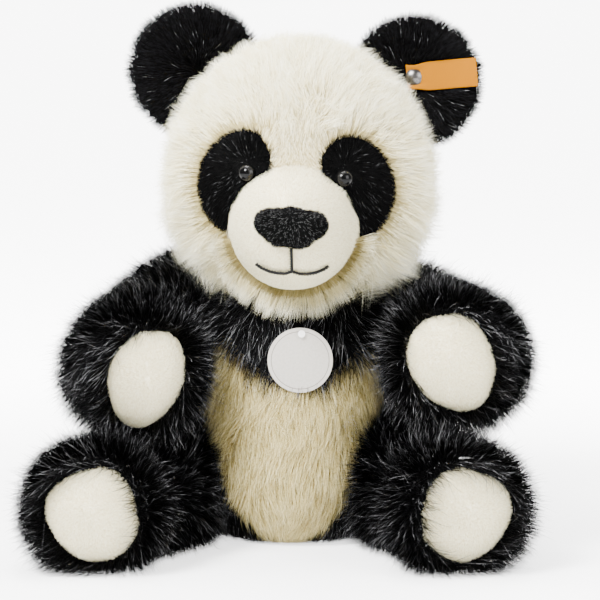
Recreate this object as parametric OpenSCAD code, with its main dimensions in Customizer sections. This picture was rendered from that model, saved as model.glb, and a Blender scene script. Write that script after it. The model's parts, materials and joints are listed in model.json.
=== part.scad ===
// Jointed plush panda, sitting. Millimetres, +Z up, the toy faces -Y.
// Left and right are the toy's own: its left side is +X.
// The upper body leans a little to the toy's left; the legs stand on the floor frame.

/* [Torso] */
// Largest radius of the torso
torso_r = 46; // [42:1:52]
// Height of the torso up to the neck joint
neck_z = 117; // [112:1:124]
// Height of the widest part of the torso
waist_z = 45; // [38:1:52]
// Sideways lean of the upper body, degrees
lean = 3; // [0:0.5:5]
// Thickness of the fabric with the dense foot of its pile
skin_t = 2.5; // [1.5:0.5:3]

/* [Head] */
// Radius of the head seen from above
head_r = 54; // [50:1:57]
// Half height of the head
head_h = 55; // [53:1:58]
// Turn of the head at rest, degrees
head_turn = -2; // [-10:1:10]
// Radius of the muzzle
muzzle_r = 29.5; // [26:0.5:31]
// How far the muzzle reaches in front of the head centre
muzzle_reach = 80; // [74:1:84]
// Width of the nose
nose_w = 32; // [28:1:36]
// Diameter of the safety eyes
eye_d = 8; // [6:0.5:10]
// Radius of an ear
ear_r = 27; // [22:1:30]
// Thickness of an ear
ear_t = 13; // [8:1:16]

/* [Arms] */
// Radius of an upper arm
arm_r = 25; // [22:1:27]
// Radius of a forearm and its paw
paw_r = 27; // [24:1:29]
// Length from the shoulder joint to the end of the paw
arm_len = 80; // [70:1:86]
// Height of the shoulder joints
shoulder_z = 98; // [94:1:102]
// Drop of the left arm below level at rest, degrees
left_drop = 4; // [2:1:16]
// Drop of the right arm below level at rest, degrees
right_drop = 16; // [2:1:20]

/* [Legs] */
// Radius of a leg
leg_r = 27; // [24:1:29]
// Length from the hip joint to the sole, straight forward
leg_len = 97; // [90:1:104]
// Outward turn of the legs, degrees
leg_splay = 24; // [20:1:28]
// Outward turn of the left sole, degrees
left_sole_turn = 15; // [0:1:20]
// Outward turn of the right sole, degrees
right_sole_turn = 3; // [0:1:20]

/* [Tags] */
// Diameter of the round card on the chest
card_d = 29; // [24:1:34]
// Length of the woven ribbon on the ear
ribbon_l = 32; // [24:1:36]
// Width of the woven ribbon on the ear
ribbon_w = 13; // [10:1:16]
// Diameter of the ear button
button_d = 8; // [6:0.5:10]

/* [Hidden] */
// sideways places of the seat and of the head
torso_x = -2;
leg_mid_x = -2.5;
// contact planes of the arms and legs, from the middle of the body
shoulder_x = 36;
hip_x = 36;
hip_y = -4;
// height where the torso steps from its hip flats in to its shoulder flats
ledge_z = 62;
// how far the turned outline runs on below the seat and above the neck
seat_depth = 5;
neck_depth = 4;
// belly panel: middle height, half width, half height, and how far back its edge lies
panel_z = 53;
panel_a = 35;
panel_b = 47;
panel_back = 12;
panel_skew = 15;
panel_n = 3;
// the black chest dips into the top of the panel as part of a circle
yoke_r = 36;
yoke_up = 61;
label_turn = 38;
label_t = 0.5;
label_w = 15;
label_l = 26;
label_in = 12;
label_z = 14;
tail_r = 11;
tail_len = 15;
tail_y = 42.9;
tail_z = 22;
tail_tilt = 12;
// upper arms start this far outside their contact plane and lean out to the elbow
arm_off = 14;
elbow_lean = 30;
elbow_len = 58;
// forearms run straight forward this far outside the contact plane
paw_out = 35;
paw_bulge = 14;
paw_back = 52;
// the pad sits on the inner, upper part of the paw
pad_depth = 14;
pad_in = 4;
pad_shift = 1.5;
pad_up = -0.5;
// half width, half height and outward tilt of the paw pads; the right one is slimmer
left_pad = [18, 22.5, 28];
right_pad = [15.8, 23.3, 10];
paw_skew = 3.5;
// thighs start this far outside their contact plane; feet face forward further out
leg_off = 6;
thigh_len = 92;
foot_out = 45.5;
foot_shift = -1.5;
foot_bulge = 10;
foot_back = 52;
sole_depth = 15;
sole_a = 19;
sole_in = 1;
sole_up = -1;
sole_b = 20;
sole_n = 2.4;
sole_skew = 2.5;
sole_tilt = -24;
// a block larger than the toy, for flat cuts
room = 300;
// room on each side of a contact plane, and between inner pieces
gap = 0.35;
inner_gap = 0.25;
// half the width of a seam line
seam = 0.05;
pellet_r = 17;
pellet_y = 8;
pellet_z = 24;
// height of the head centre above the neck plane, and the flat under the head
head_above = 52;
head_x = -2.5;
head_y = -4;
muzzle_drop = -22.5;
muzzle_back = 30;
nose_up = 2.5;
nose_back = 3.5;
// the nose is a hull of balls: two at the sides, one above and two below the middle
nose_ball = 6.5;
nose_side_up = 1.5;
nose_side_back = 1.2;
nose_top = 3.2;
nose_foot = -3;
nose_foot_out = 4;
nose_fine = 32;
// stitched mouth, from the middle of the nose: top and fork of the line, reach and bend of the curves
mouth_w = 1.4;
mouth_t = 0.6;
mouth_top = -10;
mouth_fork = -18.4;
mouth_half = 15;
mouth_turn_in = 6;
mouth_bend = 16;
// places of eyes and patches round the head, degrees, and the size and tilt of a patch
eye_turn = 23;
eye_up = 0.7;
patch_turn = 32.5;
patch_up = -4;
patch_tilt = 25;
patch_a = 17;
patch_b = 21.5;
patch_proud = 0.9;
patch_skew = -1.5;
// safety eyes: depth of the eye frame, foot of the dome, shank, and washer inside the head
eye_sunk = 0.6;
eye_foot = 0.8;
eye_shank_r = 1.6;
eye_shank_len = 8;
eye_washer_r = 5.5;
eye_washer_t = 1.2;
eye_washer_in = 6;
// ears: place of the disc centre in the head frame, and room at the seam
ear_x = 50;
ear_y = 6;
ear_up = 42.5;
ear_room = 2.2;
ear_skin_t = 1.6;
// joint set: discs, studs and washers
disc_r = 12;
disc_t = 2;
stud_r = 3;
stud_len = 13;
washer_r = 10;
washer_t = 1.5;
lock_r = 7;
lock_t = 3;
bore_gap = 0.3;
// chest card and its thread, in the torso frame
card_t = 0.8;
card_x = 2;
card_z = 87.5;
card_room = 3.2;
card_hole_up = 12;
thread_r = 0.5;
thread_end_r = 1.6;
thread_end_t = 0.8;
thread_back = 10.8;
// ear button and ribbon
button_up = 2.5;
ribbon_t = 0.7;
ribbon_rise = 8;
ribbon_tail = 3.5;
smooth = 96;
fine = 48;

black_fur = [0.08, 0.08, 0.09];
cream_fur = [0.93, 0.89, 0.80];
fibre = [0.96, 0.96, 0.96];
steel = [0.70, 0.70, 0.72];
nylon = [0.85, 0.85, 0.82];

// ---- frames ----
module torso_frame() translate([torso_x, 0, 0]) rotate([0, lean, 0]) children();
module head_frame() torso_frame() translate([head_x, 0, neck_z + head_above])
  rotate([0, 0, head_turn]) translate([0, head_y, 0]) children();
module shoulder_frame(side) torso_frame() translate([side * shoulder_x, 0, shoulder_z]) children();
module hip_frame(side) translate([leg_mid_x + side * hip_x, hip_y, leg_r]) children();
// turns the cylinder axis from +Z to the side direction
module sideways(side) rotate([0, side * 90, 0]) children();

// ---- outlines by formula ----
// an oval of half width a and half height b; skew widens its upper half and narrows the lower
function egg(a, b, skew, steps) = [for (i = [0:steps - 1]) let (t = 360 * i / steps)
  [(a + skew * sin(t)) * cos(t), b * sin(t)]];
// like egg, but squarer for n above 2
function shield(a, b, skew, n, steps) = [for (i = [0:steps - 1])
  let (t = 360 * i / steps, h = sin(t))
  [(a + skew * h) * sign(cos(t)) * pow(max(0, 1 - pow(abs(h), n)), 1 / n), b * h]];
// superellipse quarter from the widest radius up to the top
function dome(r, h, n, steps) = [for (i = [0:steps]) let (a = 90 * i / steps)
  [r * pow(cos(a), 2 / n), h * pow(sin(a), 2 / n)]];
function at_z(points, z, s) = [for (p = points) [max(p[0], 0), z + s * p[1]]];
function backwards(points) = [for (i = [len(points) - 1:-1:0]) points[i]];

// a round body: lower dome of height low, upper dome of height high
module turned(r, low, high, n_low, n_high, inset) {
  up = dome(r - inset, high - inset, n_high, 14);
  down = dome(r - inset, low - inset, n_low, 10);
  rotate_extrude($fn = smooth)
    polygon(concat(backwards(at_z(down, 0, -1)), at_z([for (i = [1:len(up) - 1]) up[i]], 0, 1)));
}

// ---- torso ----
// turned body, flat on the seat and at the neck, with four flat sides for the limbs
module torso_turned(inset) torso_frame() translate([0, 0, waist_z])
  turned(torso_r, waist_z + seat_depth, neck_z - waist_z + neck_depth, 2.2, 4, inset);
module torso_solid(inset) difference() {
  torso_turned(inset);
  translate([-room / 2, -room / 2, inset - room]) cube(room);
  torso_frame() translate([-room / 2, -room / 2, neck_z - gap - inset]) cube(room);
  for (side = [-1, 1]) {
    shoulder_frame(side) translate([side * (room / 2 - gap - inset), 0, room / 2])
      translate([0, 0, ledge_z - inset - shoulder_z]) cube(room, center = true);
    hip_frame(side) translate([side * (room / 2 - gap - inset), 0, -room / 2])
      translate([0, 0, ledge_z + inset - leg_r]) cube(room, center = true);
  }
}

// bores for the neck, shoulder and hip studs
module stud_paths(r, len) {
  torso_frame() translate([0, 0, neck_z - len]) cylinder(r = r, h = len + 2, $fn = fine);
  for (side = [-1, 1]) {
    shoulder_frame(side) sideways(-side) translate([0, 0, -2]) cylinder(r = r, h = len + 2, $fn = fine);
    hip_frame(side) sideways(-side) translate([0, 0, -2]) cylinder(r = r, h = len + 2, $fn = fine);
  }
}

module belly_prism(extra) torso_frame() translate([0, -panel_back, panel_z]) rotate([90, 0, 0])
  linear_extrude(height = torso_r) difference() {
    polygon(shield(panel_a + extra, panel_b + extra, panel_skew, panel_n, 36));
    translate([0, yoke_up]) circle(r = yoke_r - extra, $fn = smooth);
  }

module body_skin() color(black_fur) difference() {
  torso_solid(0);
  torso_solid(skin_t);
  stud_paths(stud_r + bore_gap, stud_len + 7);
  belly_prism(seam);
  thread_path(thread_r + 3 * seam);
}

module belly_panel() color(cream_fur) intersection() {
  difference() {
    torso_solid(0);
    torso_solid(skin_t);
    thread_path(thread_r + 3 * seam);
  }
  belly_prism(-seam);
}

module pellets(extra) translate([torso_x, pellet_y, pellet_z]) sphere(r = pellet_r + extra, $fn = fine);
module body_stuffing() color(fibre) difference() {
  torso_solid(skin_t + inner_gap);
  stud_paths(washer_r + 2, stud_len + 3);
  thread_path(thread_end_r + inner_gap);
  pellets(inner_gap);
}

module pellet_bag() color([0.8, 0.8, 0.76]) pellets(0);

module tail() color(cream_fur) translate([torso_x, tail_y, tail_z]) rotate([-90 - tail_tilt, 0, 0])
  rotate_extrude($fn = fine) polygon(concat([[0, 0]], dome(tail_r, tail_len, 2.2, 10)));

module care_label() color([0.97, 0.97, 0.96]) difference() {
  rotate([0, 0, -label_turn]) translate([0, torso_r - label_in, label_z]) cube([label_t, label_l, label_w]);
  torso_turned(-seam);
}

module card_plate() rotate([90, 0, 0]) cylinder(d = card_d, h = card_t, $fn = smooth);

// the card hangs in front of the chest, from a thread through its top edge
module card_frame() torso_frame() translate([card_x, -torso_r - card_room, card_z]) children();
module chest_card() color([0.80, 0.78, 0.75]) card_frame() difference() {
  card_plate();
  thread_run(thread_r + 0.4, 1, 4);
}

// a rod along the thread, from y0 behind the card towards the front
module thread_run(r, y0, len) translate([0, y0, card_hole_up]) rotate([90, 0, 0])
  cylinder(r = r, h = len, $fn = fine);
module thread_path(r) card_frame() thread_run(r, 12, 14);
module card_thread() color(fibre) card_frame() {
  thread_run(thread_r, thread_back, thread_back + 2);
  thread_run(thread_end_r, thread_back + 0.4, thread_end_t);
  thread_run(thread_end_r, -card_t - 0.4, thread_end_t);
}

// ---- joint sets ----
// stud: disc inside the moving piece, pin reaching into the torso; the axis points to the torso
module stud() color(nylon) {
  translate([0, 0, -skin_t - gap - disc_t - inner_gap]) cylinder(r = disc_r, h = disc_t, $fn = smooth);
  translate([0, 0, -skin_t - gap - disc_t]) cylinder(r = stud_r, h = stud_len, $fn = fine);
}

module washer() color(nylon) translate([0, 0, gap + skin_t + inner_gap]) difference() {
  cylinder(r = washer_r, h = washer_t, $fn = smooth);
  translate([0, 0, -1]) cylinder(r = stud_r + bore_gap, h = washer_t + 2, $fn = fine);
}

module lock() color(nylon) translate([0, 0, gap + skin_t + 2 * inner_gap + washer_t]) difference() {
  cylinder(r = lock_r, h = lock_t, $fn = fine);
  translate([0, 0, -1]) cylinder(r = stud_r, h = lock_t + 2, $fn = fine);
}

module at_neck() torso_frame() translate([0, 0, neck_z]) mirror([0, 0, 1]) children();
module at_shoulder(side) shoulder_frame(side) sideways(-side) children();
module at_hip(side) hip_frame(side) sideways(-side) children();

// ---- head ----
module head_round(inset) turned(head_r, head_h, head_h, 2, 2, inset);
module head_solid(inset) head_frame() difference() {
  head_round(inset);
  translate([-room / 2, -room / 2, -head_above + gap + inset - room]) cube(room);
}

// the muzzle is turned about a forward axis, a little flattened
module muzzle_solid(inset) head_frame() translate([0, 0, muzzle_drop]) rotate([90, 0, 0])
  translate([0, 0, muzzle_back])
  turned(muzzle_r, muzzle_back - 5, muzzle_reach - muzzle_back, 2, 2.3, inset);

module patch_prism(side, extra) head_frame() rotate([0, 0, side * patch_turn]) translate([0, 0, patch_up])
  rotate([90, 0, 0]) rotate([0, 0, side * patch_tilt]) linear_extrude(height = head_r + 26)
    polygon(egg(patch_a + extra, patch_b + extra, patch_skew, 32));

module eye_axis(side) head_frame() rotate([0, 0, side * eye_turn]) translate([0, 0, eye_up])
  rotate([90, 0, 0]) translate([0, 0, head_r - eye_sunk]) children();

module head_skin() color(cream_fur) difference() {
  head_solid(0);
  head_solid(skin_t);
  patch_prism(-1, seam);
  patch_prism(1, seam);
  torso_frame() translate([0, 0, neck_z - 2]) cylinder(r = stud_r + bore_gap, h = 8, $fn = fine);
}

module head_stuffing() color(fibre) difference() {
  head_solid(skin_t + inner_gap);
  torso_frame() translate([0, 0, neck_z]) cylinder(r = disc_r + 1, h = 8, $fn = fine);
  for (side = [-1, 1]) eye_axis(side) translate([0, 0, -eye_shank_len - 6])
    cylinder(r = eye_washer_r + 1.5, h = eye_shank_len + 7, $fn = fine);
}

module eye_patch(side) color(black_fur) intersection() {
  difference() {
    head_solid(-patch_proud);
    head_solid(skin_t);
    muzzle_solid(-0.1);
    eye_axis(side) translate([0, 0, -eye_shank_len]) cylinder(r = eye_shank_r + 0.4, h = 12, $fn = fine);
    eye_axis(side) translate([0, 0, eye_foot - 0.2]) cylinder(d = eye_d + 0.4, h = 6, $fn = fine);
  }
  patch_prism(side, -seam);
}

module eye(side) color([0.05, 0.04, 0.04]) eye_axis(side) {
  translate([0, 0, eye_foot]) intersection() {
    sphere(d = eye_d, $fn = fine);
    cylinder(d = eye_d, h = eye_d, $fn = fine);
  }
  translate([0, 0, -eye_shank_len]) cylinder(r = eye_shank_r, h = eye_shank_len + 1, $fn = fine);
}

module eye_washer(side) color(nylon) eye_axis(side) translate([0, 0, -eye_washer_in]) difference() {
  cylinder(r = eye_washer_r, h = eye_washer_t, $fn = fine);
  translate([0, 0, -1]) cylinder(r = eye_shank_r + 0.1, h = eye_washer_t + 2, $fn = fine);
}

module muzzle_skin() color(cream_fur) difference() {
  muzzle_solid(0);
  muzzle_solid(skin_t);
  head_solid(-seam);
  for (side = [-1, 1]) eye_axis(side) cylinder(d = eye_d + 0.6, h = 9, $fn = fine);
}

module muzzle_stuffing() color(fibre) difference() {
  muzzle_solid(skin_t + inner_gap);
  head_solid(-0.3);
}

// the nose is a small stuffed pad: wide and rounded above, narrower below
module nose() color(black_fur) difference() {
  head_frame() translate([0, -muzzle_reach + nose_back, muzzle_drop + nose_up]) hull() {
    for (side = [-1, 1]) translate([side * (nose_w / 2 - nose_ball), nose_side_back, nose_side_up])
      sphere(r = nose_ball, $fn = nose_fine);
    translate([0, 0, nose_top]) sphere(r = nose_ball, $fn = nose_fine);
    for (side = [-1, 1]) translate([side * nose_foot_out, 0, nose_foot])
      sphere(r = nose_ball, $fn = nose_fine);
  }
  muzzle_solid(-seam);
}

// stitched lines lie on the muzzle: one line down from the nose, then two curves
module mouth_lines(w) {
  translate([-w / 2, mouth_fork - w / 2]) square([w, mouth_top - mouth_fork + w / 2]);
  curve_mid = mouth_fork + sqrt(pow(mouth_bend, 2) - pow(mouth_turn_in, 2));
  for (side = [-1, 1]) intersection() {
    translate([side * mouth_turn_in, curve_mid]) difference() {
      circle(r = mouth_bend + w / 2, $fn = smooth);
      circle(r = mouth_bend - w / 2, $fn = smooth);
    }
    translate([side * mouth_half / 2, mouth_fork])
      square([mouth_half + w / 2, mouth_half / 2], center = true);
  }
}
module mouth_stitching() color(black_fur) intersection() {
  difference() {
    muzzle_solid(-mouth_t);
    muzzle_solid(-seam);
  }
  head_frame() translate([0, -head_r, muzzle_drop + nose_up]) rotate([90, 0, 0])
    linear_extrude(height = head_r) mouth_lines(mouth_w);
}

// ---- ears ----
module ear_frame(side) head_frame() translate([side * ear_x, ear_y, ear_up]) children();
module ear_pillow(inset) rotate([90, 0, 0])
  turned(ear_r, ear_t / 2, ear_t / 2, 2.4, 2.4, inset);
module ear_shell(side) color(black_fur) difference() {
  ear_frame(side) ear_pillow(0);
  ear_frame(side) ear_pillow(ear_skin_t);
  head_solid(-ear_room);
  if (side > 0) button_frame() cylinder(r = 1.6, h = 60, center = true, $fn = fine);
}
module ear_filling(side) color(fibre) difference() {
  ear_frame(side) ear_pillow(1.6 + inner_gap);
  head_solid(-ear_room - 1);
  if (side > 0) button_frame() cylinder(r = 1.6, h = 60, center = true, $fn = fine);
}

// button, its back ring and the ribbon, on the left ear; +Z of the frame points forward
module button_frame() ear_frame(1) translate([0, 0, button_up]) rotate([90, 0, 0]) children();
button_lift = ear_t / 2 + 0.3;
module ear_button() color(steel) button_frame() {
  translate([0, 0, button_lift + ribbon_t + 0.6]) intersection() {
    translate([0, 0, -4]) sphere(r = button_d / 2 + 1.7, $fn = fine);
    cylinder(d = button_d, h = 6, $fn = fine);
  }
  translate([0, 0, -button_lift - 1]) cylinder(r = 1.2, h = 2 * button_lift + ribbon_t + 2.2, $fn = fine);
}
module ear_button_back() color(steel) button_frame() translate([0, 0, -button_lift - 1.2]) difference() {
  cylinder(d = button_d, h = 1, $fn = fine);
  translate([0, 0, -1]) cylinder(r = 1.2, h = 4, $fn = fine);
}
module ear_ribbon() color([0.95, 0.66, 0.10]) button_frame() translate([0, 0, button_lift])
  rotate([0, 0, ribbon_rise]) difference() {
  translate([-ribbon_tail, -ribbon_w / 2, 0]) cube([ribbon_l, ribbon_w, ribbon_t]);
  translate([0, 0, -1]) cylinder(r = 1.3, h = 4, $fn = fine);
}

// ---- limbs: two turned forms each, flat where they meet the torso ----
module side_room(side, inset) translate([side * (gap + inset + room / 2), 0, 0]) cube(room, center = true);

module arm_frame(side, drop) shoulder_frame(side) rotate([drop, 0, 0]) children();
// forward axis of the forearm, with its origin where the paw is widest
module paw_axis(side, drop) arm_frame(side, drop)
  translate([side * paw_out, paw_bulge - arm_len, 0]) rotate([90, 0, 0]) children();
module arm_solid(side, drop, inset) intersection() {
  union() {
    arm_frame(side, drop) rotate([0, 0, side * elbow_lean]) translate([side * arm_off, 0, 0])
      rotate([90, 0, 0]) turned(arm_r, arm_r, elbow_len, 2, 2.4, inset);
    paw_axis(side, drop) turned(paw_r, paw_back, paw_bulge, 2, 2.6, inset);
  }
  shoulder_frame(side) side_room(side, inset);
}
function pad_size(side) = side > 0 ? left_pad : right_pad;
module arm_pad_prism(side, drop, extra) paw_axis(side, drop)
  translate([pad_shift - side * pad_in, pad_up, paw_bulge - pad_depth])
  rotate([0, 0, side * pad_size(side)[2]]) linear_extrude(height = 2 * pad_depth)
  polygon(egg(pad_size(side)[0] + extra, pad_size(side)[1] + extra, paw_skew, 32));
module arm_skin(side, drop) color(black_fur) difference() {
  arm_solid(side, drop, 0);
  arm_solid(side, drop, skin_t);
  arm_pad_prism(side, drop, seam);
  at_shoulder(side) translate([0, 0, -8]) cylinder(r = stud_r + 0.02, h = 12, $fn = fine);
}
module paw_pad(side, drop) color(cream_fur) intersection() {
  difference() {
    arm_solid(side, drop, 0);
    arm_solid(side, drop, skin_t);
  }
  arm_pad_prism(side, drop, -seam);
}
module arm_stuffing(side, drop) color(fibre) difference() {
  arm_solid(side, drop, skin_t + inner_gap);
  at_shoulder(side) translate([0, 0, -8]) cylinder(r = disc_r + 1, h = 12, $fn = fine);
}

// forward axis of the foot, with its origin where the foot is widest
module foot_axis(side, turn) hip_frame(side)
  translate([side * foot_out + foot_shift, -leg_len, 0])
  rotate([0, 0, side * turn]) rotate([90, 0, 0]) translate([0, 0, -foot_bulge]) children();
module leg_solid(side, turn, inset) intersection() {
  union() {
    hip_frame(side) rotate([0, 0, side * leg_splay]) translate([side * leg_off, 0, 0])
      rotate([90, 0, 0]) turned(leg_r, leg_r, thigh_len, 2, 2.6, inset);
    foot_axis(side, turn) turned(leg_r, foot_back, foot_bulge, 2, 2.6, inset);
  }
  hip_frame(side) side_room(side, inset);
}
module foot_pad_prism(side, turn, extra) foot_axis(side, turn)
  translate([-side * sole_in, sole_up, foot_bulge - sole_depth]) rotate([0, 0, side * sole_tilt])
    linear_extrude(height = 2 * sole_depth)
    polygon(shield(sole_a + extra, sole_b + extra, sole_skew, sole_n, 32));
module leg_skin(side, turn) color(black_fur) difference() {
  leg_solid(side, turn, 0);
  leg_solid(side, turn, skin_t);
  foot_pad_prism(side, turn, seam);
  at_hip(side) translate([0, 0, -8]) cylinder(r = stud_r + 0.02, h = 12, $fn = fine);
}
module foot_pad(side, turn) color(cream_fur) intersection() {
  difference() {
    leg_solid(side, turn, 0);
    leg_solid(side, turn, skin_t);
  }
  foot_pad_prism(side, turn, -seam);
}
module leg_stuffing(side, turn) color(fibre) difference() {
  leg_solid(side, turn, skin_t + inner_gap);
  at_hip(side) translate([0, 0, -8]) cylinder(r = disc_r + 1, h = 12, $fn = fine);
}

body_skin();
belly_panel();
body_stuffing();
pellet_bag();
tail();
care_label();
chest_card();
card_thread();
at_neck() washer();  // neck_washer
head_skin();
head_stuffing();
muzzle_skin();
muzzle_stuffing();
nose();
mouth_stitching();
eye_patch(1);  // left_eye_patch
eye_patch(-1);  // right_eye_patch
eye(1);  // left_eye
eye(-1);  // right_eye
eye_washer(1);  // left_eye_washer
eye_washer(-1);  // right_eye_washer
at_neck() stud();  // neck_stud
at_neck() lock();  // neck_lock
ear_shell(1);  // left_ear
ear_filling(1);  // left_ear_filling
ear_shell(-1);  // right_ear
ear_filling(-1);  // right_ear_filling
ear_button();
ear_button_back();
ear_ribbon();
arm_skin(1, left_drop);  // left_arm_skin
arm_stuffing(1, left_drop);  // left_arm_stuffing
paw_pad(1, left_drop);  // left_paw_pad
at_shoulder(1) stud();  // left_shoulder_stud
at_shoulder(1) lock();  // left_shoulder_lock
at_shoulder(1) washer();  // left_shoulder_washer
arm_skin(-1, right_drop);  // right_arm_skin
arm_stuffing(-1, right_drop);  // right_arm_stuffing
paw_pad(-1, right_drop);  // right_paw_pad
at_shoulder(-1) stud();  // right_shoulder_stud
at_shoulder(-1) lock();  // right_shoulder_lock
at_shoulder(-1) washer();  // right_shoulder_washer
leg_skin(1, left_sole_turn);  // left_leg_skin
leg_stuffing(1, left_sole_turn);  // left_leg_stuffing
foot_pad(1, left_sole_turn);  // left_foot_pad
at_hip(1) stud();  // left_hip_stud
at_hip(1) lock();  // left_hip_lock
at_hip(1) washer();  // left_hip_washer
leg_skin(-1, right_sole_turn);  // right_leg_skin
leg_stuffing(-1, right_sole_turn);  // right_leg_stuffing
foot_pad(-1, right_sole_turn);  // right_foot_pad
at_hip(-1) stud();  // right_hip_stud
at_hip(-1) lock();  // right_hip_lock
at_hip(-1) washer();  // right_hip_washer
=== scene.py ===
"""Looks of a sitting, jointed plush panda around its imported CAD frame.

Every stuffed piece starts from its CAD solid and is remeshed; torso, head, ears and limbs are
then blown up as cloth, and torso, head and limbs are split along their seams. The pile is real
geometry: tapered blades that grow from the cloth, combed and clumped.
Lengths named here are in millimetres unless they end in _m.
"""
import json
import math
import bmesh
import bpy
import numpy as np
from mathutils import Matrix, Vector
from mathutils.bvhtree import BVHTree
from mathutils.kdtree import KDTree


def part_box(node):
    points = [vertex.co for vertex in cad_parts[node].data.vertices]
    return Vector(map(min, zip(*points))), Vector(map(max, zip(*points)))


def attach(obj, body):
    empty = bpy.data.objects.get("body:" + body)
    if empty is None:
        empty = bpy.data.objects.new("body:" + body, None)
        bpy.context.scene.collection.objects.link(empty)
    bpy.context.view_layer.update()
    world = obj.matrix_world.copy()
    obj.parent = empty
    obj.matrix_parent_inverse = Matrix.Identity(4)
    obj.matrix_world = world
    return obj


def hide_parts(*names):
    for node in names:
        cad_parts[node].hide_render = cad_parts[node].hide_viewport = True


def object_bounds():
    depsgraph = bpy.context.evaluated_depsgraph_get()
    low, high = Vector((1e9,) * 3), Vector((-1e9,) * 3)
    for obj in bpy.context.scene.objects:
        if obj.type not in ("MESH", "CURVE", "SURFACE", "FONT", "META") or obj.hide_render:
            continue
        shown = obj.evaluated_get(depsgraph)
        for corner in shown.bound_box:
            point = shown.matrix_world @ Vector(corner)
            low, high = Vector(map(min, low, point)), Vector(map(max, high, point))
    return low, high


MM = 0.001
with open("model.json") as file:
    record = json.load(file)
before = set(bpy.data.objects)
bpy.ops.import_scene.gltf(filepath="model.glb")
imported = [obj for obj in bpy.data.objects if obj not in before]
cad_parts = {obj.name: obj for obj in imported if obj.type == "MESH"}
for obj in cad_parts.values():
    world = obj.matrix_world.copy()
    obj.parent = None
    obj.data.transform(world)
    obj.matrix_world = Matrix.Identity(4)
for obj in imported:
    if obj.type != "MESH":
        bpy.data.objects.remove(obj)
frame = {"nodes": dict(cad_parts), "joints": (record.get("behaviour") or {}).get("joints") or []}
CAD_LOW, CAD_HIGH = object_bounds()
UP = np.array((0.0, 0.0, 1.0))
PIECE_BLADES = 38000                   # most blades in one piece, to keep each mesh light
OVER_SHARE, OVER_MM = 0.03, 8.5        # how far pile may stand out from the CAD box
FLOOR_GAP, PILE_GAP = 0.2, 0.4         # least height of cloth and of pile over the floor
CLOTH_FRAMES = 20
RIBBON_L, RIBBON_W = 32.0, 13.0
EYE_R, IRIS_R, PUPIL_R = 4.0, 3.6, 2.5
JOINTS = {j["name"]: j for j in frame["joints"]}
SIDES = ("left", "right")


# ---------- geometry helpers ----------
def middle(node):
    low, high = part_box(node)
    return np.array((low + high) / 2)


def node_points(*nodes):
    """All vertices of some CAD nodes, as rows."""
    rows = [np.array([v.co for v in frame["nodes"][n].data.vertices]) for n in nodes]
    return np.concatenate(rows)


def unit(v):
    v = np.asarray(v, float)
    return v / np.maximum(np.linalg.norm(v, axis=-1, keepdims=True), 1e-12)


def tangent(v, n):
    """The part of v that lies along the surface with normal n, as unit rows."""
    return unit(v - n * np.sum(v * n, axis=-1, keepdims=True))


def smoothstep(x, low, high):
    t = np.clip((x - low) / (high - low), 0, 1)
    return t * t * (3 - 2 * t)


def waves(p, size, seed, count=10):
    """Smooth noise vectors at points p: a sum of plane waves about `size` metres long."""
    rng = np.random.default_rng(seed)
    k = unit(rng.normal(size=(count, 3))) * (2 * math.pi / size) * rng.uniform(0.6, 1.6, (count, 1))
    phase = rng.uniform(0, 2 * math.pi, (count, 1))
    amp = rng.normal(size=(count, 3))
    out = np.zeros_like(p)
    for i in range(count):
        out += np.sin(p @ k[i] + phase[i])[:, None] * amp[i]
    return out / math.sqrt(count)


def add_object(name, mesh):
    obj = bpy.data.objects.new(name, mesh)
    bpy.context.scene.collection.objects.link(obj)
    return obj


def mesh_from(name, verts, faces):
    mesh = bpy.data.meshes.new(name)
    mesh.from_pydata([tuple(v) for v in verts], [], faces)
    mesh.update()
    return mesh


def applied(obj):
    """Puts the result of obj's modifiers into its mesh."""
    bpy.context.view_layer.update()
    dg = bpy.context.evaluated_depsgraph_get()
    mesh = bpy.data.meshes.new_from_object(obj.evaluated_get(dg))
    old = obj.data
    obj.modifiers.clear()
    obj.data = mesh
    bpy.data.meshes.remove(old)
    return obj


def modify(obj, kind, **settings):
    m = obj.modifiers.new(kind, kind)
    for key, value in settings.items():
        setattr(m, key, value)
    return m


def coords(mesh):
    co = np.zeros(len(mesh.vertices) * 3)
    mesh.vertices.foreach_get("co", co)
    return co.reshape(-1, 3)


def normals_of(mesh):
    n = np.zeros(len(mesh.vertices) * 3)
    mesh.vertices.foreach_get("normal", n)
    return n.reshape(-1, 3)


def set_coords(mesh, co):
    mesh.vertices.foreach_set("co", np.ascontiguousarray(co, float).ravel())
    mesh.update()


def smooth_shade(obj):
    obj.data.polygons.foreach_set("use_smooth", [True] * len(obj.data.polygons))
    return obj


def tree_of(points):
    tree = KDTree(len(points))
    for i, p in enumerate(points):
        tree.insert(p, i)
    tree.balance()
    return tree


def bvh_of_node(node):
    mesh = frame["nodes"][node].data
    return BVHTree.FromPolygons([v.co for v in mesh.vertices], [p.vertices[:] for p in mesh.polygons])


# ---------- cloth ----------
def largest_part(mesh):
    """Keeps only the biggest connected shell of a mesh."""
    bm = bmesh.new()
    bm.from_mesh(mesh)
    left, best = set(bm.verts), set()
    while left:
        seed = left.pop()
        part, stack = {seed}, [seed]
        while stack:
            for e in stack.pop().link_edges:
                for v in e.verts:
                    if v in left:
                        left.discard(v)
                        part.add(v)
                        stack.append(v)
        if len(part) > len(best):
            best = part
    bmesh.ops.delete(bm, geom=[v for v in bm.verts if v not in best], context="VERTS")
    bm.to_mesh(mesh)
    bm.free()


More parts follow.
